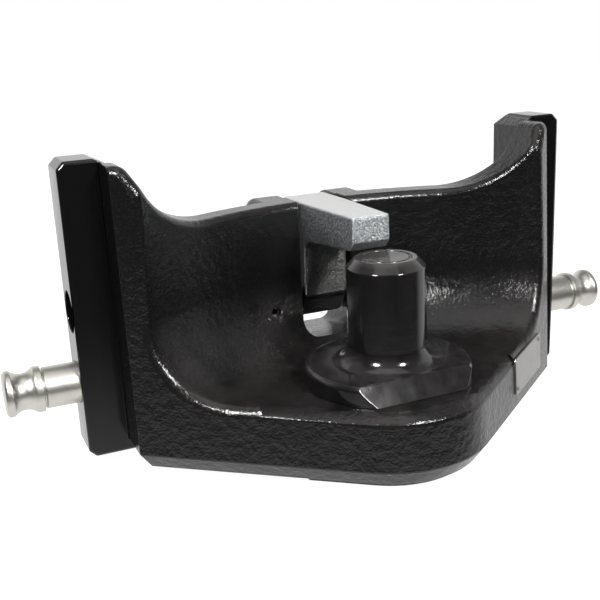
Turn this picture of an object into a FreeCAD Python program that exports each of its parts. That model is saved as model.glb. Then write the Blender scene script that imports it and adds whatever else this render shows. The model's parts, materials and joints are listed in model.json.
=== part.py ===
import FreeCAD, Part
import math
import os

# Piton hitch: a cast carriage that slides between two upright rails. It carries an upright piton
# for a drawbar ring and a swinging hold-down finger that keeps the ring from lifting off.
# Millimetres. X runs across, +Y towards the vehicle, +Z up. Heights are drawn from the plane that
# the part rests on; the finished pieces are set with the origin at the coupling point, which is
# the middle of the piton's plain length.

# Tongues that slide in the rails
carriage_width = 324.0
tongue_depth = 28.0
tongue_reach = 23.2
tongue_height = 170.6
tongue_front = 60.4
tongue_end_bevel = 4.0
tongue_edge_bevel = 1.5
side_thickness = 31.0
plate_fall_run = 11.0
plate_fall_drop = 6.0

# Lock bores and pins
lock_bore_radius = 12.2
lower_bore_height = 42.9
upper_bore_height = 85.0
bore_overrun = 0.5
pin_clearance = 0.3
pin_projection = 41.0
pin_plain_length = 19.0
pin_grip_radius = 13.2
pin_neck_radius = 10.4
pin_collar_length = 4.0
pin_groove_width = 1.2
pin_groove_depth = 1.0
pin_edge = 1.5

# Base and bowl
base_lift = 5.0
body_drop = 2.0
floor_height = 39.4
front_radius = 58.5
front_angle = 38.0
front_lean = 2.4
bottom_bevel = 7.0
bottom_bevel_height = 8.0
rim_round = 6.0
wall_top_round = 5.0
wall_back_bevel = 8.0
lip_bevel_run = 9.0
lip_bevel_drop = 4.2
lip_half_width = 80.0
rim_land = 12.7
bowl_back = 80.0
bowl_fillet = 45.0
wall_thickness = 25.5
saddle_height = 129.5
saddle_half_width = 80.0
saddle_slope = 60.0
saddle_curve_share = 1.27
cheek_height = 168.0
cheek_round_share = 0.2
seat_margin = 1.5
pad_half_width = 58.0
pad_back = 95.0
pad_edge = 4.0

# Slot, rear boss and lugs
slot_side_gap = 1.8
slot_front_height = 48.0
slot_front_y = 61.0
slot_fall = 6.9
slot_round = 7.0
slot_mouth_half = 21.0
slot_flare_front = 10.0
slot_flare_back = 2.0
boss_half_width = 46.0
boss_back = 115.0
boss_height = 84.0
boss_round = 8.0
lug_half_width = 36.0
lug_back = 131.0
lug_low = 70.0
lug_height = 128.8
lug_round = 18.0
rear_edge_round = 4.0

# Hold-down
nose_width = 23.4
leg_width = 29.2
leg_reach = 18.0
nose_y = 16.1
nose_rise = 1.5
head_height = 128.4
nose_thickness = 13.2
nose_bevel_run = 4.8
nose_bevel_drop = 5.2
head_root_y = 60.0
head_root_thickness = 21.9
pivot_y = 98.0
pivot_height = 64.0
heel_radius = 12.0
throat_radius = 12.0
tail_wall = 4.0
tail_fall = 12.0
flute_radius = 20.0
flute_depth_low = 6.0
flute_depth_high = 1.5
flute_rise = 6.0
hold_edge = 1.5

# Hold-down pivot
pivot_pin_radius = 7.0
pivot_running_gap = 0.05
bush_wall = 1.5
pivot_end_inset = 1.5
fit_gap = 0.03
roll_pin_radius = 3.0
roll_pin_wall = 0.9
roll_pin_slit = 0.8
roll_pin_x = 38.0
roll_pin_stand_out = 0.8
roll_pin_depth = 6.0

# Spring bolt that locks the hold-down
lock_y = 118.0
lock_height = 99.0
lock_bolt_radius = 7.0
lock_running_gap = 0.1
lock_travel = 12.0
lock_tip_gap = 0.5
lock_stem_radius = 4.0
lock_body_length = 21.5
lock_spring_wire = 1.3
lock_spring_turns = 4
guide_radius = 12.0
guide_length = 17.0
guide_wall = 4.0
guide_spigot = 8.0
knob_radius = 11.0
knob_length = 20.0
knob_waist_radius = 6.6
knob_waist_length = 6.0
knob_gap = 1.0

# Piton
piton_radius = 22.25
piton_height = 110.0
piton_top_bevel = 5.0
piton_root_fillet = 10.0
top_ring_radius = 13.0
top_ring_width = 1.2
top_ring_depth = 0.6
flange_radius = 47.5
flange_thickness = 11.0
flange_edge = 3.0
flat_top_y = 31.0
flat_bottom_y = 39.0
shank_radius = 25.0
washer_radius = 33.0
washer_thickness = 8.0
washer_gap = 0.3
washer_side_gap = 0.5
screw_radius = 8.0
screw_hole_gap = 0.5
screw_grip = 24.0
screw_head_radius = 12.0
screw_head_height = 9.0
screw_socket = 10.0
screw_socket_depth = 5.0
screw_recess = 2.0

# Nameplate
plate_length = 54.0
plate_width = 23.0
plate_thickness = 1.0
plate_corner = 2.0
plate_from_axis = 100.0
plate_centre_height = 27.0
plate_rivet_inset = 3.5
rivet_radius = 2.2
rivet_head = 0.9
rivet_depth = 4.0
rivet_end_gap = 0.3

# Worked out from the sizes above
half_width = carriage_width / 2
cheek_x = half_width - tongue_reach
side_inner_x = half_width - side_thickness
tongue_back = tongue_front + tongue_depth
tongue_mid_y = tongue_front + tongue_depth / 2
body_bottom = base_lift - body_drop
floor_z = base_lift + floor_height
tongue_top = base_lift + tongue_height
saddle_radius = saddle_curve_share * (cheek_height - saddle_height)
cheek_round = cheek_round_share * (cheek_height - saddle_height)
front_slant = math.radians(front_angle)
rim_distance = front_radius - (cheek_height - bottom_bevel_height) * math.tan(math.radians(front_lean))
rim_x = cheek_x - rim_land
rim_y = (math.sin(front_slant) * rim_x - rim_distance) / math.cos(front_slant)
bowl_centre_y = (rim_x ** 2 + rim_y ** 2 - bowl_back ** 2) / (2 * (rim_y - bowl_back))
bowl_radius = bowl_back - bowl_centre_y
wall_outer_radius = bowl_radius + wall_thickness
slot_half = leg_width / 2 + slot_side_gap
pivot_z = base_lift + pivot_height
lock_z = base_lift + lock_height
piton_top = base_lift + piton_height
flange_top = floor_z + flange_thickness
coupling_z = (flange_top + piton_root_fillet + piton_top - piton_top_bevel) / 2
counterbore_depth = screw_recess + screw_head_height + washer_thickness
pin_radius = lock_bore_radius - pin_clearance
beyond = carriage_width


def vec(x, y, z):
    return FreeCAD.Vector(x, y, z)


X_AXIS = vec(1, 0, 0)
Y_AXIS = vec(0, 1, 0)
Z_AXIS = vec(0, 0, 1)


def line(a, b):
    return Part.LineSegment(a, b).toShape()


def arc(a, middle, b):
    return Part.Arc(a, middle, b).toShape()


def closed_face(points):
    return Part.Face(Part.makePolygon(points + points[:1]))


def box(low, high):
    size = high - low
    return Part.makeBox(size.x, size.y, size.z, low)


def rod(radius, start, end):
    run = end - start
    return Part.makeCylinder(radius, run.Length, start, run)


def turned(points, centre, axis):
    """Solid of revolution from (distance along the axis, radius) points."""
    side = Y_AXIS if abs(axis.y) < 0.5 else X_AXIS
    ring = [centre + axis * along + side * radius for along, radius in points]
    return closed_face(ring).revolve(centre, axis, 360)


def mirrored(shape):
    return shape.mirror(vec(0, 0, 0), X_AXIS)


def fused(shapes):
    return shapes[0].multiFuse(shapes[1:]).removeSplitter()


def edges_where(shape, test):
    return [edge for edge in shape.Edges if test(edge)]


def middle_of(edge):
    first, last = edge.ParameterRange
    return edge.valueAt((first + last) / 2)


def front_outline(distance, half, z):
    """Plan outline of the cheeks and front at one height, from the distance of its front faces."""
    turn = math.radians(front_angle)
    touch_x = distance * math.sin(turn)
    touch_y = -distance * math.cos(turn)
    corner_y = (math.sin(turn) * half - distance) / math.cos(turn)
    left = [vec(-half, tongue_front, z), vec(-half, corner_y, z), vec(-touch_x, touch_y, z)]
    right = [vec(touch_x, touch_y, z), vec(half, corner_y, z), vec(half, tongue_front, z)]
    edges = [line(left[0], left[1]), line(left[1], left[2])]
    edges.append(arc(left[2], vec(0, -distance, z), right[0]))
    edges += [line(right[0], right[1]), line(right[1], right[2]), line(right[2], left[0])]
    return Part.Wire(edges)


def front_distance(height):
    """Distance of the front faces from the piton's axis: they lean back as they rise."""
    return front_radius - (height - bottom_bevel_height) * math.tan(math.radians(front_lean))


def front_block():
    wires = [front_outline(front_radius - bottom_bevel, cheek_x - bottom_bevel, body_bottom),
             front_outline(front_radius, cheek_x, base_lift + bottom_bevel_height),
             front_outline(front_distance(cheek_height), cheek_x, base_lift + cheek_height)]
    return Part.makeLoft(wires, True, True)


def saddle_cut():
    """Air above the wall: a low saddle that rises to the cheeks in a hollow curve."""
    slope = math.radians(saddle_slope)
    low = base_lift + saddle_height
    top = base_lift + cheek_height
    foot = vec(saddle_half_width, 0, low)
    centre = vec(saddle_half_width, 0, low + saddle_radius)
    half = centre + vec(math.sin(slope / 2), 0, -math.cos(slope / 2)) * saddle_radius
    end = centre + vec(math.sin(slope), 0, -math.cos(slope)) * saddle_radius
    crest_start_z = top - cheek_round * (1 - math.cos(slope))
    crest_x = end.x + (crest_start_z - end.z) / math.tan(slope)
    crest = vec(crest_x, 0, crest_start_z)
    round_centre = crest + vec(math.sin(slope), 0, -math.cos(slope)) * cheek_round
    crest_half = round_centre + vec(-math.sin(slope / 2), 0, math.cos(slope / 2)) * cheek_round
    crest_end = vec(round_centre.x, 0, top)
    outer = vec(crest_end.x, 0, beyond)
    edges = [line(vec(0, 0, low), foot), arc(foot, half, end), line(end, crest)]
    edges += [arc(crest, crest_half, crest_end), line(crest_end, outer)]
    edges += [line(outer, vec(0, 0, beyond)), line(vec(0, 0, beyond), vec(0, 0, low))]
    half_cut = Part.Face(Part.Wire(edges)).extrude(Y_AXIS * 2 * beyond)
    half_cut.translate(Y_AXIS * -beyond)
    return half_cut.fuse(mirrored(half_cut)).removeSplitter()


def bowl_cut():
    """Turned hollow of the bowl: flat floor, large fillet and upright wall."""
    floor_edge = bowl_radius - bowl_fillet
    turn = math.radians(45)
    centre = vec(floor_edge, 0, floor_z + bowl_fillet)
    half = centre + vec(math.sin(turn), 0, -math.cos(turn)) * bowl_fillet
    a = vec(0, 0, floor_z)
    b = vec(floor_edge, 0, floor_z)
    c = vec(bowl_radius, 0, centre.z)
    d = vec(bowl_radius, 0, beyond)
    e = vec(0, 0, beyond)
    wire = Part.Wire([line(a, b), arc(b, half, c), line(c, d), line(d, e), line(e, a)])
    bowl = Part.Face(wire).revolve(vec(0, 0, 0), Z_AXIS, 360)
    bowl.translate(vec(0, bowl_centre_y, 0))
    return bowl


def tongue():
    """Right side plate with the tongue that runs in the rail."""
    plate = box(vec(side_inner_x, tongue_front, base_lift), vec(half_width, tongue_back, tongue_top))
    ends = edges_where(plate, lambda e: middle_of(e).x > half_width - 1 and abs(e.tangentAt(0).y) > 0.5)
    plate = plate.makeChamfer(tongue_end_bevel, ends)
    fronts = edges_where(plate, lambda e: middle_of(e).x > cheek_x + 1 and abs(e.tangentAt(0).y) < 0.5)
    plate = plate.makeChamfer(tongue_edge_bevel, fronts)
    fall = closed_face([vec(side_inner_x, tongue_front, tongue_top),
                        vec(side_inner_x + plate_fall_run, tongue_front, tongue_top),
                        vec(side_inner_x, tongue_front, tongue_top - plate_fall_drop)])
    return plate.cut(fall.extrude(Y_AXIS * tongue_depth))


def rear_block(half, low, top, back, top_round):
    """Block behind the wall, its top rounded down to the rear and its outer edges eased."""
    start = bowl_back + wall_thickness / 2
    centre = vec(-half, back - top_round, top - top_round)
    turn = math.radians(45)
    middle = centre + vec(0, math.sin(turn), math.cos(turn)) * top_round
    corners = [vec(-half, back, top - top_round), vec(-half, back, low), vec(-half, start, low)]
    corners += [vec(-half, start, top), vec(-half, back - top_round, top)]
    edges = [line(a, b) for a, b in zip(corners, corners[1:])]
    edges.append(arc(corners[-1], middle, corners[0]))
    block = Part.Face(Part.Wire(edges)).extrude(X_AXIS * 2 * half)
    def outer(edge):
        at = middle_of(edge)
        return abs(at.x) > half - 1 and at.y > start + 1 and at.z > low + 1
    return block.makeFillet(rear_edge_round, edges_where(block, outer))


def slot_outline(half, y):
    """Section of the slot at one depth: round corners, its floor lower towards the rear."""
    fall = (y - slot_front_y) * math.tan(math.radians(slot_fall))
    low = base_lift + slot_front_height - fall
    inset = slot_round * (1 - math.cos(math.radians(45)))
    left = [vec(-half, y, beyond), vec(-half, y, low + slot_round), vec(-half + slot_round, y, low)]
    right = [vec(half - slot_round, y, low), vec(half, y, low + slot_round), vec(half, y, beyond)]
    edges = [line(left[0], left[1]), arc(left[1], vec(-half + inset, y, low + inset), left[2])]
    edges += [line(left[2], right[0]), arc(right[0], vec(half - inset, y, low + inset), right[1])]
    edges += [line(right[1], right[2]), line(right[2], left[0])]
    return Part.Wire(edges)


def slot_cut():
    """Slot for the hold-down, flared where it opens into the bowl."""
    wires = [slot_outline(slot_mouth_half, 0), slot_outline(slot_mouth_half, bowl_back - slot_flare_front),
             slot_outline(slot_half, bowl_back + slot_flare_back), slot_outline(slot_half, beyond)]
    return Part.makeLoft(wires, True, True)


def rest_pad():
    """Low flat pad under the base that the part stands on."""
    outline = front_outline(front_radius - bottom_bevel - pad_edge, cheek_x, 0)
    front = Part.Face(outline).extrude(Z_AXIS * base_lift)
    front = front.common(box(vec(-pad_half_width, -beyond, 0), vec(pad_half_width, beyond, base_lift)))
    return front.fuse(box(vec(-pad_half_width, 0, 0), vec(pad_half_width, pad_back, base_lift)))


def body_bores():
    cuts = []
    for height in (lower_bore_height, upper_bore_height):
        z = base_lift + height
        for side in (-1, 1):
            cuts.append(rod(lock_bore_radius, vec(side * (half_width + bore_overrun), tongue_mid_y, z),
                            vec(side * (side_inner_x - bore_overrun), tongue_mid_y, z)))
    pivot_hole = pivot_pin_radius + fit_gap
    cuts.append(rod(pivot_hole, vec(-boss_half_width - 1, pivot_y, pivot_z),
                    vec(boss_half_width + 1, pivot_y, pivot_z)))
    for side in (-1, 1):
        cuts.append(rod(roll_pin_radius + fit_gap, vec(side * roll_pin_x, 0, pivot_z),
                        vec(side * roll_pin_x, pivot_y + pivot_pin_radius + roll_pin_depth, pivot_z)))
    cuts.append(rod(lock_bolt_radius + lock_running_gap, vec(-lug_half_width - 1, lock_y, lock_z),
                    vec(0, lock_y, lock_z)))
    cuts.append(rod(guide_radius - guide_wall + lock_running_gap, vec(-lug_half_width - 1, lock_y, lock_z),
                    vec(-lug_half_width + guide_spigot, lock_y, lock_z)))
    cuts.append(rod(shank_radius + fit_gap, vec(0, 0, -1), vec(0, 0, floor_z + 1)))
    cuts.append(rod(washer_radius + washer_side_gap, vec(0, 0, -1), vec(0, 0, counterbore_depth)))
    return cuts


def wall_edges(shape, radius, test):
    """Edges that lie on the upright cylinder of one radius about the bowl's centre."""
    def off(point):
        return abs(math.hypot(point.x, point.y - bowl_centre_y) - radius)
    def on(edge):
        points = [vertex.Point for vertex in edge.Vertexes] + [middle_of(edge)]
        return max(off(point) for point in points) < fit_gap and test(edge)
    return edges_where(shape, on)


def saddle_edges(shape, radius):
    """Middle edge of the wall's top on one of its two cylinders; roundings run on from it."""
    low = floor_z + bowl_fillet
    return wall_edges(shape, radius, lambda e: abs(middle_of(e).x) < 1 and middle_of(e).z > low)


def wall_block():
    """Rear wall as a drum about the bowl's centre, its top bevelled at the back."""
    drum = rod(wall_outer_radius, vec(0, bowl_centre_y, body_bottom),
               vec(0, bowl_centre_y, base_lift + cheek_height))
    drum = drum.common(box(vec(-cheek_x, tongue_front, 0), vec(cheek_x, beyond, beyond)))
    drum = drum.cut(saddle_cut()).removeSplitter()
    return drum.makeChamfer(wall_back_bevel, saddle_edges(drum, wall_outer_radius))


def bowl_block():
    """Cheeks, front and wall with the bowl turned out; the rim and the wall's top are rounded."""
    block = fused([front_block(), wall_block()]).cut(bowl_cut()).removeSplitter()
    rims = wall_edges(block, bowl_radius, lambda e: abs(e.tangentAt(e.FirstParameter).z) > 0.9)
    block = block.makeFillet(rim_round, rims)
    block = block.cut(saddle_cut()).removeSplitter()
    return block.makeFillet(wall_top_round, saddle_edges(block, bowl_radius))


def lip_bevel():
    """Strip ground along the front lip, between two steps."""
    low = floor_height - lip_bevel_drop
    distance = front_distance(low)
    wires = [front_outline(distance, cheek_x, base_lift + low),
             front_outline(distance - lip_bevel_run, cheek_x, floor_z)]
    strip = box(vec(-lip_half_width, -beyond, base_lift + low), vec(lip_half_width, tongue_front, floor_z))
    return strip.cut(Part.makeLoft(wires, True, True))


def hitch_body():
    pieces = [bowl_block().cut(lip_bevel()), tongue(), mirrored(tongue()), rest_pad()]
    pieces.append(rear_block(boss_half_width, body_bottom, base_lift + boss_height, boss_back, boss_round))
    lug_top = base_lift + lug_height
    pieces.append(rear_block(lug_half_width, base_lift + lug_low, lug_top, lug_back, lug_round))
    body = fused(pieces)
    seat = Part.makeCylinder(flange_radius + seat_margin, beyond, vec(0, 0, floor_z))
    body = body.cut(seat).cut(slot_cut())
    for cut in body_bores() + rivet_holes():
        body = body.cut(cut)
    return body


def piton():
    """Turned piton with its flange, shank and tapped end; a flat is milled on the flange's front."""
    low = counterbore_depth + washer_gap
    root = flange_top + piton_root_fillet
    turn = math.radians(45)
    centre = vec(piton_radius + piton_root_fillet, 0, root)
    half = centre + vec(-math.sin(turn), 0, -math.cos(turn)) * piton_root_fillet
    rim = vec(flange_radius, 0, flange_top - flange_edge)
    rim_centre = vec(flange_radius - flange_edge, 0, rim.z)
    rim_half = rim_centre + vec(math.sin(turn), 0, math.cos(turn)) * flange_edge
    rim_top = vec(rim_centre.x, 0, flange_top)
    ring_out = top_ring_radius + top_ring_width
    outline = [vec(screw_radius, 0, low), vec(shank_radius, 0, low), vec(shank_radius, 0, floor_z)]
    outline += [vec(flange_radius, 0, floor_z), rim]
    upper = [vec(centre.x, 0, flange_top)]
    shaft = [vec(piton_radius, 0, root), vec(piton_radius, 0, piton_top - piton_top_bevel)]
    shaft += [vec(piton_radius - piton_top_bevel, 0, piton_top), vec(ring_out, 0, piton_top)]
    shaft += [vec(ring_out, 0, piton_top - top_ring_depth)]
    shaft += [vec(top_ring_radius, 0, piton_top - top_ring_depth), vec(top_ring_radius, 0, piton_top)]
    shaft += [vec(0, 0, piton_top), vec(0, 0, low + screw_grip), vec(screw_radius, 0, low + screw_grip)]
    edges = [line(a, b) for a, b in zip(outline, outline[1:])]
    edges += [arc(rim, rim_half, rim_top), line(rim_top, upper[0]), arc(upper[0], half, shaft[0])]
    edges += [line(a, b) for a, b in zip(shaft, shaft[1:])]
    edges.append(line(shaft[-1], outline[0]))
    solid = Part.Face(Part.Wire(edges)).revolve(vec(0, 0, 0), Z_AXIS, 360)
    lean = (flat_bottom_y - flat_top_y) / flange_thickness
    low_y = -flat_bottom_y - lean * flange_thickness
    high_y = -flat_top_y + lean * flange_thickness
    low_z = floor_z - flange_thickness
    high_z = flange_top + flange_thickness
    flat = closed_face([vec(-beyond, low_y, low_z), vec(-beyond, -beyond, low_z),
                        vec(-beyond, -beyond, high_z), vec(-beyond, high_y, high_z)])
    return solid.cut(flat.extrude(X_AXIS * 2 * beyond))


def piton_washer():
    top = counterbore_depth
    ring = rod(washer_radius, vec(0, 0, top - washer_thickness), vec(0, 0, top))
    return ring.cut(rod(screw_radius + screw_hole_gap, vec(0, 0, 0), vec(0, 0, top + 1)))


def piton_bolt():
    head_top = counterbore_depth - washer_thickness
    head_low = head_top - screw_head_height
    head = rod(screw_head_radius, vec(0, 0, head_low), vec(0, 0, head_top))
    shank = rod(screw_radius - fit_gap, vec(0, 0, head_low), vec(0, 0, counterbore_depth + screw_grip - 1))
    corner = screw_socket / math.sqrt(3)
    turns = [math.radians(60 * i) for i in range(6)]
    corners = [vec(corner * math.cos(turn), corner * math.sin(turn), head_low) for turn in turns]
    return fused([head, shank]).cut(closed_face(corners).extrude(Z_AXIS * screw_socket_depth))


def hold_down_profile(knee):
    """Side outline of the hold-down: its nose, throat, leg, heel and tail."""
    top = base_lift + head_height
    leg_back = pivot_y + heel_radius
    nose_low = top - nose_thickness
    root_z = top - head_root_thickness
    bevel = vec(0, nose_y + nose_bevel_run, nose_low - nose_bevel_drop)
    fall = (bevel.z - root_z) / (head_root_y - bevel.y)
    throat_y = knee.y - throat_radius
    throat_top = vec(0, throat_y, root_z - fall * (throat_y - head_root_y))
    throat_end = vec(0, knee.y, throat_top.z - throat_radius)
    turn = math.radians(45)
    throat_mid = vec(0, knee.y - throat_radius * (1 - math.sin(turn)),
                     throat_top.z - throat_radius * (1 - math.cos(turn)))
    to_pivot = math.hypot(leg_reach, knee.z - pivot_z)
    lean = math.atan2(knee.z - pivot_z, leg_reach) + math.asin(heel_radius / to_pivot)
    run = math.sqrt(to_pivot ** 2 - heel_radius ** 2)
    heel_front = knee + vec(0, math.cos(lean), -math.sin(lean)) * run
    heel_back = vec(0, leg_back, pivot_z)
    tail_half = lock_bolt_radius + pin_clearance + tail_wall
    tail_y = lock_y + tail_half
    tail_low = vec(0, tail_y, lock_z - tail_half)
    tail_root = vec(0, leg_back, tail_low.z - (tail_y - leg_back))
    tail_top = vec(0, tail_y, top - tail_fall)
    back_top = vec(0, leg_back, top)
    nose_top = vec(0, nose_y, top + nose_rise)
    nose_bottom = vec(0, nose_y, nose_low)
    edges = [line(nose_top, nose_bottom), line(nose_bottom, bevel), line(bevel, throat_top)]
    edges += [arc(throat_top, throat_mid, throat_end), line(throat_end, knee), line(knee, heel_front)]
    edges += [arc(heel_front, vec(0, pivot_y, pivot_z - heel_radius), heel_back)]
    edges += [line(heel_back, tail_root), line(tail_root, tail_low), line(tail_low, tail_top)]
    edges += [line(tail_top, back_top), line(back_top, nose_top)]
    return Part.Wire(edges), throat_end


def hold_down():
    """Cast finger: a nose over the piton, a head in the slot and a hollow-fronted leg down to the pivot."""
    knee = vec(0, pivot_y - leg_reach, pivot_z + heel_radius / 2)
    profile, throat_end = hold_down_profile(knee)
    solid = Part.Face(profile).extrude(X_AXIS * leg_width)
    solid.translate(X_AXIS * (-leg_width / 2))
    taper = closed_face([vec(nose_width / 2, nose_y, 0), vec(leg_width / 2, knee.y, 0),
                         vec(leg_width, knee.y, 0), vec(leg_width, nose_y - 1, 0),
                         vec(nose_width / 2, nose_y - 1, 0)])
    taper = taper.extrude(Z_AXIS * beyond)
    solid = solid.cut(taper).cut(mirrored(taper))
    low = base_lift + head_height - nose_thickness - 1
    solid = solid.makeFillet(hold_edge, edges_where(solid, lambda e: middle_of(e).z > low))
    flute_low = vec(0, knee.y + flute_depth_low - flute_radius, pivot_z)
    flute_high = vec(0, knee.y + flute_depth_high - flute_radius, throat_end.z + flute_rise)
    solid = solid.cut(rod(flute_radius, flute_low, flute_high))
    solid = solid.cut(rod(pivot_pin_radius + bush_wall + fit_gap, vec(-leg_width, pivot_y, pivot_z),
                          vec(leg_width, pivot_y, pivot_z)))
    reach = lock_travel + slot_half + lock_tip_gap
    return solid.cut(rod(lock_bolt_radius + pin_clearance, vec(-leg_width, lock_y, lock_z),
                         vec(reach - slot_half - leg_width / 2, lock_y, lock_z)))


def pivot_bush():
    outer = rod(pivot_pin_radius + bush_wall, vec(-leg_width / 2, pivot_y, pivot_z),
                vec(leg_width / 2, pivot_y, pivot_z))
    return outer.cut(rod(pivot_pin_radius + pivot_running_gap, vec(-leg_width, pivot_y, pivot_z),
                         vec(leg_width, pivot_y, pivot_z)))


def hold_down_pivot_pin():
    pin = rod(pivot_pin_radius, vec(-boss_half_width + pivot_end_inset, pivot_y, pivot_z),
              vec(boss_half_width - pivot_end_inset, pivot_y, pivot_z))
    for side in (-1, 1):
        pin = pin.cut(rod(roll_pin_radius + fit_gap, vec(side * roll_pin_x, 0, pivot_z),
                          vec(side * roll_pin_x, beyond, pivot_z)))
    return pin


def pivot_roll_pins():
    wall_y = bowl_centre_y + math.sqrt(bowl_radius ** 2 - roll_pin_x ** 2)
    start = wall_y - roll_pin_stand_out
    end = pivot_y + pivot_pin_radius + roll_pin_depth
    tube = rod(roll_pin_radius, vec(roll_pin_x, start, pivot_z), vec(roll_pin_x, end, pivot_z))
    tube = tube.cut(rod(roll_pin_radius - roll_pin_wall, vec(roll_pin_x, 0, pivot_z),
                        vec(roll_pin_x, beyond, pivot_z)))
    slit = box(vec(roll_pin_x - roll_pin_slit / 2, 0, pivot_z),
               vec(roll_pin_x + roll_pin_slit / 2, beyond, pivot_z + 2 * roll_pin_radius))
    tube = tube.cut(slit)
    return Part.makeCompound([tube, mirrored(tube)])


def lock_bolt():
    tip = -slot_half - lock_tip_gap
    body_end = tip - lock_body_length
    stem_end = -lug_half_width - guide_length - lock_travel - knob_gap - knob_length / 2
    points = [(stem_end, 0), (stem_end, lock_stem_radius), (body_end, lock_stem_radius)]
    points += [(body_end, lock_bolt_radius), (tip - pin_edge, lock_bolt_radius)]
    points += [(tip, lock_bolt_radius - pin_edge), (tip, 0)]
    return turned(points, vec(0, lock_y, lock_z), X_AXIS)


def lock_guide():
    face = -lug_half_width
    inner = guide_radius - guide_wall
    end = face - guide_length
    cap = end + guide_wall
    stem_hole = lock_stem_radius + lock_running_gap
    bore = lock_bolt_radius + lock_running_gap
    points = [(end, stem_hole), (end, guide_radius), (face, guide_radius), (face, inner)]
    spigot_end = face + guide_spigot - fit_gap
    points += [(spigot_end, inner), (spigot_end, bore), (cap, bore), (cap, stem_hole)]
    return turned(points, vec(0, lock_y, lock_z), X_AXIS)


def lock_spring():
    """Coil of half turns: each is a half ring tilted by half its climb, so that the ends meet square."""
    cap = -lug_half_width - guide_length + guide_wall
    body_end = -slot_half - lock_tip_gap - lock_body_length
    radius = (lock_stem_radius + lock_bolt_radius) / 2
    length = body_end - cap - 2 * lock_spring_wire
    half_turns = round(2 * lock_spring_turns)
    climb = length / half_turns
    tilt = math.degrees(math.atan2(climb / 2, radius))
    ring_radius = math.hypot(radius, climb / 2)
    halves = []
    for step in range(half_turns):
        half = Part.makeTorus(ring_radius, lock_spring_wire / 2, vec(0, 0, 0), Z_AXIS, -180, 180, 180)
        half.rotate(vec(0, 0, 0), Y_AXIS, tilt)
        half.rotate(vec(0, 0, 0), Z_AXIS, 180 * step)
        half.translate(vec(0, 0, (step + 0.5) * climb))
        halves.append(half)
    coil = halves[0].multiFuse(halves[1:])
    coil.rotate(vec(0, 0, 0), Y_AXIS, 90)
    coil.translate(vec(cap + lock_spring_wire, lock_y, lock_z))
    return coil


def lock_knob():
    near = -lug_half_width - guide_length - lock_travel - knob_gap
    far = near - knob_length
    hole = lock_stem_radius + fit_gap
    hole_end = near - knob_length / 2 - fit_gap
    points = [(near, hole), (near, knob_waist_radius), (near - knob_waist_length, knob_waist_radius)]
    points += [(near - knob_length / 2, knob_radius), (far + pin_edge, knob_radius)]
    points += [(far, knob_radius - pin_edge), (far, 0), (hole_end, 0), (hole_end, hole)]
    return turned(points, vec(0, lock_y, lock_z), X_AXIS)


def lock_pin_right():
    """Turned pin: plain shank, a fine groove, a collar and a waisted grip."""
    inner = side_inner_x + pin_edge
    plain = half_width + pin_plain_length
    end = half_width + pin_projection
    groove = plain + pin_groove_width
    collar = groove + pin_collar_length
    z = base_lift + lower_bore_height
    def at(x, radius):
        return vec(x, tongue_mid_y + radius, z)
    outline = [at(inner, 0), at(inner, pin_radius - pin_edge), at(inner + pin_edge, pin_radius)]
    outline += [at(plain, pin_radius), at(plain, pin_radius - pin_groove_depth)]
    outline += [at(groove, pin_radius - pin_groove_depth), at(groove, pin_grip_radius)]
    outline.append(at(collar, pin_grip_radius))
    neck = at((collar + end - pin_collar_length) / 2, pin_neck_radius)
    flare = at(end - pin_collar_length, pin_grip_radius)
    tail = [flare, at(end - pin_edge, pin_grip_radius), at(end, pin_grip_radius - pin_edge)]
    tail += [at(end, 0), outline[0]]
    edges = [line(a, b) for a, b in zip(outline, outline[1:])]
    edges.append(arc(outline[-1], neck, flare))
    edges += [line(a, b) for a, b in zip(tail, tail[1:])]
    return Part.Face(Part.Wire(edges)).revolve(at(0, 0), X_AXIS, 360)


def on_plate_face(shape):
    """Set a shape drawn in the XZ plane, facing -Y, on the right diagonal front face."""
    shape.translate(vec(0, -front_distance(plate_centre_height), 0))
    shape.rotate(vec(0, -front_distance(plate_centre_height), 0), X_AXIS, -front_lean)
    shape.translate(vec(0, 0, base_lift + plate_centre_height))
    turn = math.radians(front_angle)
    along = plate_from_axis / math.cos(turn) - front_distance(plate_centre_height) * math.tan(turn)
    shape.translate(vec(along, 0, 0))
    shape.rotate(vec(0, 0, 0), Z_AXIS, front_angle)
    return shape


def rivet_places():
    reach_x = plate_length / 2 - plate_rivet_inset
    reach_z = plate_width / 2 - plate_rivet_inset
    return [(-reach_x, -reach_z), (reach_x, reach_z)]


def rivet_holes():
    radius = rivet_radius / 2 + fit_gap
    depth = rivet_depth + rivet_end_gap
    rods = [rod(radius, vec(x, -plate_thickness, z), vec(x, depth, z)) for x, z in rivet_places()]
    return [on_plate_face(hole) for hole in rods]


def nameplate():
    low = vec(-plate_length / 2, -plate_thickness, -plate_width / 2)
    plate = box(low, vec(plate_length / 2, 0, plate_width / 2))
    plate = plate.makeFillet(plate_corner, edges_where(plate, lambda e: abs(e.tangentAt(0).y) > 0.5))
    for x, z in rivet_places():
        plate = plate.cut(rod(rivet_radius / 2 + fit_gap, vec(x, -beyond, z), vec(x, beyond, z)))
    return on_plate_face(plate)


def nameplate_rivets():
    rivets = []
    for x, z in rivet_places():
        points = [(-plate_thickness - rivet_head, 0), (-plate_thickness - rivet_head, rivet_radius / 2)]
        points += [(-plate_thickness, rivet_radius), (-plate_thickness, rivet_radius / 2)]
        points += [(rivet_depth, rivet_radius / 2), (rivet_depth, 0)]
        rivets.append(on_plate_face(turned(points, vec(x, 0, z), Y_AXIS)))
    return Part.makeCompound(rivets)


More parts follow.
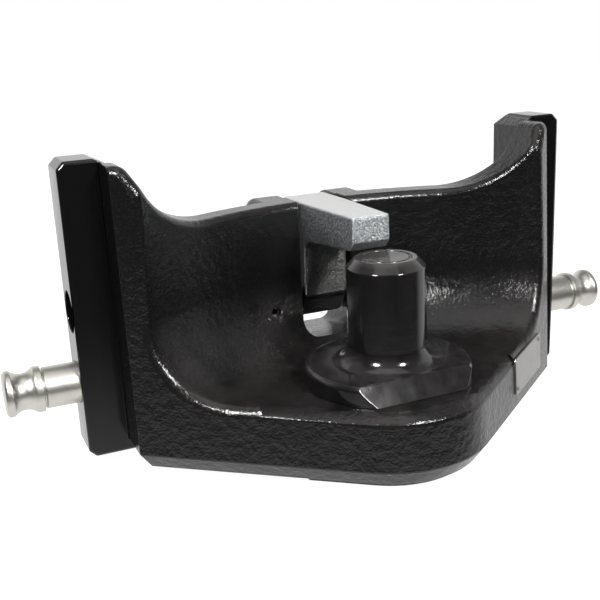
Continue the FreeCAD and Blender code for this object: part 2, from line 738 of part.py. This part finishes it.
def main():
    os.makedirs("parts", exist_ok=True)
    right_pin = lock_pin_right()
    parts = {
        "hitch_body": hitch_body(),
        "piton": piton(),
        "piton_washer": piton_washer(),
        "piton_bolt": piton_bolt(),
        "hold_down": hold_down(),
        "pivot_bush": pivot_bush(),
        "hold_down_pivot_pin": hold_down_pivot_pin(),
        "pivot_roll_pins": pivot_roll_pins(),
        "lock_bolt": lock_bolt(),
        "lock_guide": lock_guide(),
        "lock_spring": lock_spring(),
        "lock_knob": lock_knob(),
        "lock_pin_right": right_pin,
        "lock_pin_left": mirrored(right_pin),
        "nameplate": nameplate(),
        "nameplate_rivets": nameplate_rivets(),
    }
    for name, shape in parts.items():
        shape.translate(Z_AXIS * -coupling_z)
        shape.exportStep("parts/" + name + ".step")
        print(name, "solids", len(shape.Solids), "valid", shape.isValid(), "volume", round(shape.Volume))


main()
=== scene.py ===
import json
import math

import bmesh
import bpy
from mathutils import Matrix, Vector

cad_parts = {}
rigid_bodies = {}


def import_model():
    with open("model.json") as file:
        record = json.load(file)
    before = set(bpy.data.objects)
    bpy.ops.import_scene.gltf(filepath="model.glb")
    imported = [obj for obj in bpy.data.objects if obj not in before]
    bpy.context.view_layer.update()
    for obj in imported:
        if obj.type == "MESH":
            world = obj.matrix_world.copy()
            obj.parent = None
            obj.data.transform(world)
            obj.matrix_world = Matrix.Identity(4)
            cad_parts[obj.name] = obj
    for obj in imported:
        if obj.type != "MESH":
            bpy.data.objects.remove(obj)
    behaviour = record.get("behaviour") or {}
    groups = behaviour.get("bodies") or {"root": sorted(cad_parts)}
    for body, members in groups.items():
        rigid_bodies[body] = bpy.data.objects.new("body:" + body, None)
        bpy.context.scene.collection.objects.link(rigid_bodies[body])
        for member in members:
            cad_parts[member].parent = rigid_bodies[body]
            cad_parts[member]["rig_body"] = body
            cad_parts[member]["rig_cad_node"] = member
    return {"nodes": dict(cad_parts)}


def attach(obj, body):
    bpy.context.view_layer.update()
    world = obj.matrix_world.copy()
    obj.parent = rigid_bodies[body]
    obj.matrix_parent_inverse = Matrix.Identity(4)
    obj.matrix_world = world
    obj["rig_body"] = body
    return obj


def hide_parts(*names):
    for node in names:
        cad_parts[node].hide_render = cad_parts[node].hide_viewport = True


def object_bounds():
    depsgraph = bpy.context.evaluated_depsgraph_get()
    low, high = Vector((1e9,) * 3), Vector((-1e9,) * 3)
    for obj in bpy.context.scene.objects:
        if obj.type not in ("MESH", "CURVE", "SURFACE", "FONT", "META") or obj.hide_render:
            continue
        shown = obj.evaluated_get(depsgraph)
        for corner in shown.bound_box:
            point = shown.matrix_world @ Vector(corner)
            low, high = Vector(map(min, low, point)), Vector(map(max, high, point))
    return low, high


bl_info = {
    "name": "Piton hitch",
    "version": (1, 0, 0),
    "blender": (4, 5, 0),
    "location": "View3D > Sidebar > Hitch",
    "description": "Finishes the piton hitch round its CAD frame and sets it in a studio",
    "category": "Object",
}

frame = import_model()
CAD_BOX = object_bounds()

MM = 0.001

# Copies of CAD nodes: points this close are one, and faces this nearly level are one flat face
MERGE = 0.04 * MM
FLAT = math.radians(0.05)

# Edges that a rounding can follow, and how it is cut and shaded
SHARP = math.radians(28)
FOLDED = math.radians(140)
SHORT = 0.3 * MM
NARROW = math.radians(16)
EDGE_SEGMENTS = 3
LIP_SEGMENTS = 4
SMOOTH = math.radians(35)

# Front edge of the strip ground along the lip: its height, and the slopes of the faces that meet there
LIP_LEVEL = -47.4 * MM
LIP_BAND = 0.6 * MM
LIP_UPRIGHT = 0.5
LIP_SLOPED = 0.86

# The tongues are milled outside the step from the cheek
MILLED_FROM = 138.6 * MM
MILLED_TO = 139.2 * MM

# The piton's paint is worn off its top between these heights
WORN_FROM = 24 * MM
WORN_TO = 30 * MM

# The hold-down gets darker downwards between these heights, with a ragged border
DARKER_FROM = 45 * MM
DARKER_TO = 22 * MM
DARKER_BORDER = 16 * MM

PAINT_IOR = 1.5
FLOOR_SIZE = 6.0

# Camera fitted to the photograph: place in the CAD frame, then yaw, tilt and roll
CAMERA_PLACE = Vector((-0.23539, -0.43935, 0.15275))
CAMERA_YAW = math.radians(22.645)
CAMERA_TILT = math.radians(16.618)
CAMERA_ROLL = math.radians(2.733)
CAMERA_FOCUS = 931.667
FRAME_PIXELS = 600
SENSOR_WIDTH = 36.0
NEAREST = 0.01
CAMERA_SIDE = (-math.sin(CAMERA_YAW), -math.cos(CAMERA_YAW), 0.0)

# Name, degrees round from the camera, degrees up, distance, size and power
LAMPS = (("Right_box", -40, 38, 0.9, 0.16, 10.0),
         ("Left_box", 40, 38, 0.9, 0.16, 10.0),
         ("Top_box", 0, 85, 1.2, 1.0, 3.0))


def linear(code):
    """Linear colour with alpha from an sRGB hex value."""
    parts = [int(code[i:i + 2], 16) / 255 for i in (1, 3, 5)]
    return tuple(c / 12.92 if c <= 0.04045 else ((c + 0.055) / 1.055) ** 2.4 for c in parts) + (1.0,)


def per_mm(size):
    """Texture scale that gives features of one size in millimetres on Object coordinates in metres."""
    return 1000 / size


class HitchSizes(bpy.types.PropertyGroup):
    casting_edge: bpy.props.FloatProperty(
        name="Casting edge", description="Rounding of the casting's edges under the paint",
        default=0.7 * MM, unit="LENGTH")
    lip_edge: bpy.props.FloatProperty(
        name="Lip edge", description="Rounding of the ground lip's front edge",
        default=2.2 * MM, unit="LENGTH")
    turned_edge: bpy.props.FloatProperty(
        name="Turned edge", description="Rounding of the edges of turned pieces",
        default=0.5 * MM, unit="LENGTH")
    hold_down_edge: bpy.props.FloatProperty(
        name="Hold-down edge", description="Rounding of the hold-down's cast edges",
        default=1.1 * MM, unit="LENGTH")
    small_edge: bpy.props.FloatProperty(
        name="Small edge", description="Rounding of the edges of pins, plate and fixings",
        default=0.25 * MM, unit="LENGTH")


class HitchColours(bpy.types.PropertyGroup):
    paint: bpy.props.FloatVectorProperty(
        name="Paint", description="Black paint of the casting",
        default=linear("#070707"), size=4, subtype="COLOR", min=0, max=1)
    piton_paint: bpy.props.FloatVectorProperty(
        name="Piton paint", description="Black paint of the piton",
        default=linear("#0a0909"), size=4, subtype="COLOR", min=0, max=1)
    zinc: bpy.props.FloatVectorProperty(
        name="Zinc", description="Zinc plating of the hold-down",
        default=linear("#c6c9ca"), size=4, subtype="COLOR", min=0, max=1)
    pin_zinc: bpy.props.FloatVectorProperty(
        name="Pin zinc", description="Zinc plating of the lock pins",
        default=linear("#dedcd6"), size=4, subtype="COLOR", min=0, max=1)


def sizes():
    return bpy.context.scene.hitch_sizes


def colours():
    return bpy.context.scene.hitch_colours


def node(tree, kind, links=None, **settings):
    """Add a node, set its own settings, then fill its inputs with values or join them to outputs."""
    made = tree.nodes.new(kind)
    for key, value in settings.items():
        setattr(made, key, value)
    for key, value in (links or {}).items():
        if isinstance(value, bpy.types.NodeSocket):
            tree.links.new(value, made.inputs[key])
        else:
            made.inputs[key].default_value = value
    return made


def start_material(name):
    """A new material with its tree, its shader and Object coordinates in metres."""
    material = bpy.data.materials.new(name)
    material.use_nodes = True
    tree = material.node_tree
    shader = tree.nodes["Principled BSDF"]
    place = node(tree, "ShaderNodeTexCoord").outputs["Object"]
    return material, tree, shader, place


def join(tree, shader, **inputs):
    """Join outputs to the shader's inputs, named with underscores for spaces."""
    for key, output in inputs.items():
        tree.links.new(output, shader.inputs[key.replace("_", " ")])


def noise(tree, place, size, detail, roughness=0.5):
    """Noise with features of one size in millimetres."""
    return node(tree, "ShaderNodeTexNoise", {"Vector": place, "Scale": per_mm(size), "Detail": detail,
                                             "Roughness": roughness}).outputs["Fac"]


def stretched(tree, place, scale):
    """Coordinates that draw a pattern out along the axes with a small scale."""
    return node(tree, "ShaderNodeMapping", {"Vector": place, "Scale": scale}).outputs[0]


def spread(tree, value, start, end, low=0.0, high=1.0, curve="LINEAR"):
    """Bring a value from one range to another and hold it there."""
    made = node(tree, "ShaderNodeMapRange",
                {"Value": value, "From Min": start, "From Max": end, "To Min": low, "To Max": high},
                interpolation_type=curve)
    return made.outputs[0]


def times(tree, first, second):
    return node(tree, "ShaderNodeMath", {0: first, 1: second}, operation="MULTIPLY").outputs[0]


def plus_share(tree, base, added, share):
    """The base with a share of another value added."""
    return node(tree, "ShaderNodeMath", {0: added, 1: share, 2: base}, operation="MULTIPLY_ADD").outputs[0]


def blend(tree, share, first, second):
    """Colour that goes from the first to the second as the share goes from 0 to 1."""
    made = node(tree, "ShaderNodeMix", {"Factor": share, "A": first, "B": second}, data_type="RGBA")
    return made.outputs[2]


def relief(tree, height, depth):
    """Bumped normal from a height, for a full depth in millimetres."""
    made = node(tree, "ShaderNodeBump", {"Height": height, "Strength": 1.0, "Distance": depth * MM})
    return made.outputs[0]


def axis(tree, vector, name):
    return node(tree, "ShaderNodeSeparateXYZ", {"Vector": vector}).outputs[name]


def facing_up(tree):
    """How far the piece's own surface faces up when it is at rest, from -1 to 1."""
    return axis(tree, node(tree, "ShaderNodeTexCoord").outputs["Normal"], "Z")


def settled(tree, place, amount):
    """How much dust lies on a surface: more where it faces up, and patchy over some centimetres."""
    patches = noise(tree, stretched(tree, place, (1.0, 1.0, 0.2)), 22, 3.0, 0.55)
    patchy = spread(tree, patches, 0.35, 0.62, 0.25)
    level = spread(tree, facing_up(tree), -0.1, 0.8, 0.12 * amount, amount, "SMOOTHSTEP")
    return times(tree, patchy, level)


def casting_paint():
    """Black paint over a sand-cast skin: satin, with a fine leathery grain that breaks each highlight
    into sparkles, a few pits and a film of grey-brown dust; the milled tongues are flat, smooth and
    darker."""
    material, tree, shader, place = start_material("Black_paint_on_sand_casting")
    side = node(tree, "ShaderNodeMath", {0: axis(tree, place, "X")}, operation="ABSOLUTE").outputs[0]
    milled = spread(tree, side, MILLED_FROM, MILLED_TO)
    skin = noise(tree, place, 16, 2.0, 0.45)
    leather = noise(tree, place, 4, 3.0)
    grain = noise(tree, place, 1.3, 2.0, 0.6)
    pits = node(tree, "ShaderNodeTexVoronoi", {"Vector": place, "Scale": per_mm(12), "Randomness": 1.0})
    pit_depth = spread(tree, pits.outputs["Distance"], 0.03, 0.14)
    with_skin = plus_share(tree, leather, skin, 0.9)
    with_grain = plus_share(tree, with_skin, grain, 0.6)
    with_pits = plus_share(tree, with_grain, pit_depth, 0.3)
    cutter_lines = noise(tree, stretched(tree, place, (1.0, 1.0, 0.05)), 1.2, 2.0)
    height = node(tree, "ShaderNodeMix",
                  {"Factor": milled, "A": with_pits, "B": times(tree, cutter_lines, 0.04)}).outputs[0]
    dull = spread(tree, grain, 0.3, 0.7, 0.14, 0.26)
    rough = node(tree, "ShaderNodeMix", {"Factor": milled, "A": dull, "B": 0.14}).outputs[0]
    cast = node(tree, "ShaderNodeMath", {0: 1.0, 1: milled}, operation="SUBTRACT").outputs[0]
    dust = times(tree, settled(tree, place, 0.5), cast)
    tint = blend(tree, dust, tuple(colours().paint), linear("#292625"))
    join(tree, shader, Base_Color=tint, Roughness=rough, Normal=relief(tree, height, 0.36))
    shader.inputs["IOR"].default_value = PAINT_IOR
    return material


def piton_paint():
    """Satin black paint over a turned pin: smooth, with faint rings from the lathe, dust on the flange
    and a worn, duller top."""
    material, tree, shader, place = start_material("Satin_black_paint_on_turned_steel")
    worn = spread(tree, axis(tree, place, "Z"), WORN_FROM, WORN_TO, curve="SMOOTHSTEP")
    rings = noise(tree, stretched(tree, place, (0.02, 0.02, 1.0)), 1.4, 2.0)
    film = noise(tree, place, 7, 4.0)
    gloss = spread(tree, film, 0.3, 0.7, 0.1, 0.15)
    rough = plus_share(tree, gloss, worn, 0.16)
    dusty = blend(tree, settled(tree, place, 0.75), tuple(colours().piton_paint), linear("#2e2c2c"))
    tint = blend(tree, times(tree, worn, film), dusty, linear("#494644"))
    height = plus_share(tree, film, rings, 0.25)
    join(tree, shader, Base_Color=tint, Roughness=rough, Normal=relief(tree, height, 0.06))
    shader.inputs["IOR"].default_value = PAINT_IOR
    return material


def plated(name, colour, shade, grit, dull, bright, depth):
    """Metal whose skin breaks up over one grit size: colour, roughness and relief follow the same grain."""
    material, tree, shader, place = start_material(name)
    grain = noise(tree, place, grit, 4.0, 0.6)
    cloud = noise(tree, place, grit * 9, 3.0)
    tint = blend(tree, cloud, colour, shade)
    rough = spread(tree, grain, 0.3, 0.7, bright, dull)
    height = plus_share(tree, grain, cloud, 0.6)
    join(tree, shader, Base_Color=tint, Roughness=rough, Normal=relief(tree, height, depth))
    shader.inputs["Metallic"].default_value = 1.0
    return material


def hold_down_zinc():
    """Zinc plating over a cast skin: grainy and sparkling on the nose, with painted light making it paler
    where the top faces up, and darker towards the leg."""
    material, tree, shader, place = start_material("Zinc_plating_on_cast_steel")
    grain = noise(tree, place, 1.5, 4.0, 0.7)
    cloud = noise(tree, place, 12, 3.0)
    grainy = blend(tree, spread(tree, grain, 0.32, 0.68), linear("#737a7f"), tuple(colours().zinc))
    # Painted highlight: the zinc is made paler where its surface faces up, standing in for the light on the
    # top face.
    painted_top_light = spread(tree, facing_up(tree), 0.5, 0.95, high=0.9, curve="SMOOTHSTEP")
    zinc_with_top_light = blend(tree, painted_top_light, grainy, linear("#f4f4f3"))
    # The zinc is made darker downwards, towards the leg, over a ragged border.
    ragged = plus_share(tree, axis(tree, place, "Z"), cloud, DARKER_BORDER)
    darker_low = spread(tree, ragged, DARKER_FROM, DARKER_TO, high=0.75, curve="SMOOTHSTEP")
    tint = blend(tree, darker_low, zinc_with_top_light, linear("#5c5855"))
    rough = spread(tree, grain, 0.3, 0.7, 0.28, 0.5)
    height = plus_share(tree, grain, cloud, 1.2)
    join(tree, shader, Base_Color=tint, Roughness=rough, Normal=relief(tree, height, 0.9))
    shader.inputs["Metallic"].default_value = 1.0
    return material


def pin_zinc():
    """Zinc plating over a turned pin: silvery with a slight yellow cast and a soft shine."""
    return plated("Zinc_plating_on_turned_steel", tuple(colours().pin_zinc), linear("#c6c3b9"),
                  grit=0.9, dull=0.42, bright=0.3, depth=0.05)


def machined_steel():
    """Plain machined steel: mid grey with a fine, broken shine."""
    return plated("Plain_machined_steel", linear("#a6a6a5"), linear("#86868a"),
                  grit=0.7, dull=0.45, bright=0.3, depth=0.04)


def spring_wire():
    """Drawn spring wire: dark grey with a dull shine."""
    return plated("Drawn_spring_wire", linear("#7d7d80"), linear("#5f5f63"),
                  grit=0.5, dull=0.5, bright=0.35, depth=0.02)


def sintered_bronze():
    """Sintered bronze: warm brown metal with an open, oily grain."""
    return plated("Sintered_bronze", linear("#a8824f"), linear("#7d5f38"),
                  grit=0.4, dull=0.55, bright=0.4, depth=0.05)


def blank_aluminium():
    """Bare rolled aluminium: pale and satin, with a fine grain."""
    return plated("Bare_rolled_aluminium", linear("#b0afad"), linear("#9e9d9a"),
                  grit=0.8, dull=0.5, bright=0.36, depth=0.03)


def knob_nylon():
    """Moulded black nylon: dull black with a fine spark-eroded grain."""
    material, tree, shader, place = start_material("Moulded_black_nylon")
    grain = noise(tree, place, 0.6, 3.0)
    tint = blend(tree, grain, linear("#161617"), linear("#242426"))
    rough = spread(tree, grain, 0.0, 1.0, 0.45, 0.62)
    join(tree, shader, Base_Color=tint, Roughness=rough, Normal=relief(tree, grain, 0.06))
    return material


def studio_floor():
    """Pale matt board: glows a little, so that it is near white with a very faint fibre."""
    material, tree, shader, place = start_material("Pale_matt_board")
    fibre = noise(tree, place, 30, 2.0)
    join(tree, shader, Base_Color=blend(tree, fibre, linear("#8f8f8f"), linear("#8b8b8b")))
    shader.inputs["Roughness"].default_value = 0.9
    shader.inputs["Specular IOR Level"].default_value = 0.0
    shader.inputs["Emission Color"].default_value = linear("#ffffff")
    shader.inputs["Emission Strength"].default_value = 0.97
    return material


def select_only(piece):
    bpy.ops.object.select_all(action="DESELECT")
    piece.select_set(True)
    bpy.context.view_layer.objects.active = piece


def copy_of(cad, name):
    """A merged copy of a CAD node, with its flat faces made whole, ready to be worked on."""
    select_only(frame["nodes"][cad])
    bpy.ops.object.duplicate()
    piece = bpy.context.active_object
    piece.name = name
    piece.data.name = name
    piece.parent = None
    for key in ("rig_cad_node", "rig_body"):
        del piece[key]
    bpy.ops.mesh.customdata_custom_splitnormals_clear()
    bpy.ops.object.mode_set(mode="EDIT")
    bpy.ops.mesh.select_all(action="SELECT")
    bpy.ops.mesh.remove_doubles(threshold=MERGE)
    bpy.ops.mesh.dissolve_degenerate(threshold=MERGE)
    bpy.ops.mesh.dissolve_limited(angle_limit=FLAT)
    bpy.ops.object.mode_set(mode="OBJECT")
    return piece


def crowded(edge):
    """Whether another edge leaves either end at a narrow angle, where a rounding would run away along it."""
    for corner in edge.verts:
        run = edge.other_vert(corner).co - corner.co
        ways = [other.other_vert(corner).co - corner.co for other in corner.link_edges if other != edge]
        if min(run.angle(way, 0) for way in ways) < NARROW:
            return True
    return False


def can_follow(edge):
    """Whether a rounding can follow a sharp edge: none that is very short, folded back or crowded."""
    return SHARP < edge.calc_face_angle(0) < FOLDED and edge.calc_length() > SHORT and not crowded(edge)


def on_lip(edge):
    """Whether an edge is the front edge of the strip that is ground along the lip."""
    if any(abs(end.co.z - LIP_LEVEL) >= LIP_BAND or end.co.y >= 0 for end in edge.verts):
        return False
    slopes = [face.normal.z for face in edge.link_faces]
    return min(slopes) < LIP_UPRIGHT and max(slopes) > LIP_SLOPED


def round_off(piece, wanted, width, segments):
    """Round the edges that a test wants."""
    select_only(piece)
    bpy.ops.object.mode_set(mode="EDIT")
    bpy.ops.mesh.select_mode(type="EDGE")
    bpy.ops.mesh.select_all(action="DESELECT")
    mesh = bmesh.from_edit_mesh(piece.data)
    for edge in [edge for edge in mesh.edges if wanted(edge)]:
        edge.select_set(True)
    bmesh.update_edit_mesh(piece.data)
    bpy.ops.mesh.bevel(offset=width, segments=segments, affect="EDGES", clamp_overlap=False)
    bpy.ops.object.mode_set(mode="OBJECT")


def ease(piece, width):
    """Round the sharp edges, then smooth the shading with flat faces kept flat."""
    round_off(piece, can_follow, width, EDGE_SEGMENTS)
    bpy.ops.object.shade_smooth_by_angle(angle=SMOOTH)
    weights = piece.modifiers.new("Flat faces", "WEIGHTED_NORMAL")
    weights.keep_sharp = True
    bpy.ops.object.modifier_apply(modifier=weights.name)


def put(piece, body, slot, material, *nodes):
    """Give a finished piece its material and body, and hide the CAD nodes that it stands for; the slot is
    not used.
    """
    piece.data.materials.clear()
    piece.data.materials.append(material)
    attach(piece, body)
    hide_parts(*nodes)


class HITCH_OT_casting(bpy.types.Operator):
    """Black painted casting with its bowl, wall, tongues, base, slot and lugs"""
    bl_idname = "hitch.casting"
    bl_label = "Casting"

    def execute(self, context):
        casting = copy_of("hitch_body", "casting")
        round_off(casting, on_lip, sizes().lip_edge, LIP_SEGMENTS)
        ease(casting, sizes().casting_edge)
        put(casting, "carriage", "black_paint", casting_paint(), "hitch_body")
        return {"FINISHED"}


class HITCH_OT_piton(bpy.types.Operator):
    """Turned piton with its flange and the flat on the flange's front"""
    bl_idname = "hitch.piton"
    bl_label = "Piton"

    def execute(self, context):
        pin = copy_of("piton", "piton_pin")
        ease(pin, sizes().turned_edge)
        put(pin, "carriage", "black_piton", piton_paint(), "piton")
        return {"FINISHED"}


class HITCH_OT_hold_down(bpy.types.Operator):
    """Zinc-plated cast finger over the piton, with its bush"""
    bl_idname = "hitch.hold_down"
    bl_label = "Hold-down"

    def execute(self, context):
        finger = copy_of("hold_down", "hold_down_finger")
        ease(finger, sizes().hold_down_edge)
        put(finger, "hold_down", "zinc_casting", hold_down_zinc(), "hold_down")
        bush = copy_of("pivot_bush", "bush")
        ease(bush, sizes().small_edge)
        put(bush, "hold_down", "bronze", sintered_bronze(), "pivot_bush")
        return {"FINISHED"}


class HITCH_OT_lock_pins(bpy.types.Operator):
    """Turned lock pin with its groove and waisted grip, one in each tongue"""
    bl_idname = "hitch.lock_pins"
    bl_label = "Lock pins"

    def execute(self, context):
        zinc = pin_zinc()
        for side in ("left", "right"):
            pin = copy_of("lock_pin_" + side, "grip_pin_" + side)
            ease(pin, sizes().turned_edge)
            put(pin, "lock_pin_" + side, "zinc_pin", zinc, "lock_pin_" + side)
        return {"FINISHED"}


class HITCH_OT_fixings(bpy.types.Operator):
    """Pivot pin, roll pins, clamp washer and socket screw"""
    bl_idname = "hitch.fixings"
    bl_label = "Fixings"

    def execute(self, context):
        steel = machined_steel()
        for cad, name in (("hold_down_pivot_pin", "cross_pin"), ("pivot_roll_pins", "roll_pins"),
                          ("piton_washer", "clamp_washer"), ("piton_bolt", "socket_screw")):
            piece = copy_of(cad, name)
            ease(piece, sizes().small_edge)
            put(piece, "carriage", "steel", steel, cad)
        return {"FINISHED"}


class HITCH_OT_spring_lock(bpy.types.Operator):
    """Sprung bolt in the left lug: bolt, guide, spring and knob"""
    bl_idname = "hitch.spring_lock"
    bl_label = "Spring lock"

    def execute(self, context):
        steel = bpy.data.materials.get("Plain_machined_steel") or machined_steel()
        rows = (("lock_bolt", "sprung_bolt", "lock_bolt", "steel", steel),
                ("lock_guide", "bolt_guide", "carriage", "steel", steel),
                ("lock_spring", "bolt_spring", "carriage", "spring_steel", spring_wire()),
                ("lock_knob", "bolt_knob", "lock_bolt", "knob_plastic", knob_nylon()))
        for cad, name, body, slot, material in rows:
            piece = copy_of(cad, name)
            if cad != "lock_spring":
                ease(piece, sizes().small_edge)
            put(piece, body, slot, material, cad)
        return {"FINISHED"}


class HITCH_OT_nameplate(bpy.types.Operator):
    """Blank aluminium plate and its rivets"""
    bl_idname = "hitch.nameplate"
    bl_label = "Nameplate"

    def execute(self, context):
        aluminium = blank_aluminium()
        for cad, name in (("nameplate", "blank_plate"), ("nameplate_rivets", "plate_rivets")):
            piece = copy_of(cad, name)
            ease(piece, sizes().small_edge)
            put(piece, "carriage", "plate_aluminium", aluminium, cad)
        return {"FINISHED"}


class HITCH_OT_stage(bpy.types.Operator):
    """Pale floor, soft studio light and the camera"""
    bl_idname = "hitch.stage"
    bl_label = "Stage"

    def execute(self, context):
        set_floor()
        set_world()
        set_lights()
        set_camera()
        return {"FINISHED"}


def set_floor():
    """Floor in the rest plane; reflections pass it by and show the sweep below."""
    bpy.ops.object.select_all(action="DESELECT")
    bpy.ops.mesh.primitive_plane_add(size=FLOOR_SIZE, location=(0, 0, CAD_BOX[0][2]))
    floor = bpy.context.active_object
    floor.name = "floor"
    bpy.ops.object.transform_apply(location=True, rotation=False, scale=False)
    floor.data.materials.append(studio_floor())
    floor.visible_glossy = False


def set_world():
    """White sweep behind, beside and below the object, a dim ceiling and a dark room on the camera's
    side; the camera itself sees white all round."""
    world = bpy.data.worlds.new("Studio")
    world.use_nodes = True
    tree = world.node_tree
    way = node(tree, "ShaderNodeTexCoord").outputs["Generated"]
    ahead = node(tree, "ShaderNodeVectorMath", {0: way, 1: CAMERA_SIDE}, operation="DOT_PRODUCT")
    rise = axis(tree, way, "Z")
    facing = spread(tree, ahead.outputs["Value"], -0.3, 0.1, curve="SMOOTHSTEP")
    above = spread(tree, rise, -0.46, -0.3, curve="SMOOTHSTEP")
    ceiling = spread(tree, rise, 0.4, 0.75, high=0.85, curve="SMOOTHSTEP")
    dark = node(tree, "ShaderNodeMath", {0: times(tree, facing, above), 1: ceiling}, operation="MAXIMUM")
    strength = spread(tree, dark.outputs[0], 0.0, 1.0, 1.0, 0.05)
    seen = node(tree, "ShaderNodeLightPath").outputs["Is Camera Ray"]
    shown = node(tree, "ShaderNodeMath", {0: strength, 1: seen}, operation="MAXIMUM")
    tree.links.new(shown.outputs[0], tree.nodes["Background"].inputs["Strength"])
    tree.nodes["Background"].inputs["Color"].default_value = linear("#ffffff")
    bpy.context.scene.world = world


def set_lights():
    """Two soft boxes either side of the camera and a broad one overhead, all turned to the piton."""
    for name, turn, rise, distance, size, power in LAMPS:
        heading = CAMERA_YAW + math.pi + math.radians(turn)
        rise = math.radians(rise)
        way = Vector((math.sin(heading) * math.cos(rise), math.cos(heading) * math.cos(rise),
                      math.sin(rise)))
        lamp = bpy.data.lights.new(name, "AREA")
        lamp.size = size
        lamp.energy = power
        light = bpy.data.objects.new(name, lamp)
        bpy.context.scene.collection.objects.link(light)
        light.location = way * distance
        light.rotation_euler = way.to_track_quat("Z", "Y").to_euler()


def set_camera():
    """Camera at the photographer's place, turned by its yaw and tilt and then rolled."""
    ahead = Vector((math.sin(CAMERA_YAW) * math.cos(CAMERA_TILT),
                    math.cos(CAMERA_YAW) * math.cos(CAMERA_TILT), -math.sin(CAMERA_TILT)))
    right = Vector((math.cos(CAMERA_YAW), -math.sin(CAMERA_YAW), 0))
    down = ahead.cross(right)
    rolled_right = right * math.cos(CAMERA_ROLL) + down * math.sin(CAMERA_ROLL)
    rolled_down = down * math.cos(CAMERA_ROLL) - right * math.sin(CAMERA_ROLL)
    lens = bpy.data.cameras.new("Camera")
    lens.sensor_width = SENSOR_WIDTH
    lens.lens = CAMERA_FOCUS / FRAME_PIXELS * SENSOR_WIDTH
    lens.clip_start = NEAREST
    camera = bpy.data.objects.new("Camera", lens)
    bpy.context.scene.collection.objects.link(camera)
    turn = Matrix((rolled_right, -rolled_down, -ahead)).transposed()
    camera.matrix_world = Matrix.Translation(CAMERA_PLACE) @ turn.to_4x4()
    bpy.context.scene.camera = camera
    bpy.context.scene.view_settings.view_transform = "Standard"


class HITCH_PT_panel(bpy.types.Panel):
    """Buttons for each group of pieces, and the sizes and colours that they use"""
    bl_idname = "HITCH_PT_panel"
    bl_label = "Piton hitch"
    bl_space_type = "VIEW_3D"
    bl_region_type = "UI"
    bl_category = "Hitch"

    def draw(self, context):
        for maker in MAKERS:
            self.layout.operator(maker.bl_idname)
        for group in (context.scene.hitch_sizes, context.scene.hitch_colours):
            for key in type(group).__annotations__:
                self.layout.prop(group, key)


MAKERS = (HITCH_OT_casting, HITCH_OT_piton, HITCH_OT_hold_down, HITCH_OT_lock_pins, HITCH_OT_fixings,
          HITCH_OT_spring_lock, HITCH_OT_nameplate, HITCH_OT_stage)
CLASSES = (HitchSizes, HitchColours) + MAKERS + (HITCH_PT_panel,)


def register():
    for cls in CLASSES:
        bpy.utils.register_class(cls)
    bpy.types.Scene.hitch_sizes = bpy.props.PointerProperty(type=HitchSizes)
    bpy.types.Scene.hitch_colours = bpy.props.PointerProperty(type=HitchColours)


def unregister():
    del bpy.types.Scene.hitch_colours
    del bpy.types.Scene.hitch_sizes
    for cls in reversed(CLASSES):
        bpy.utils.unregister_class(cls)


def main():
    register()
    bpy.ops.hitch.casting()
    bpy.ops.hitch.piton()
    bpy.ops.hitch.hold_down()
    bpy.ops.hitch.lock_pins()
    bpy.ops.hitch.fixings()
    bpy.ops.hitch.spring_lock()
    bpy.ops.hitch.nameplate()
    bpy.ops.hitch.stage()


if __name__ == "__main__":
    main()
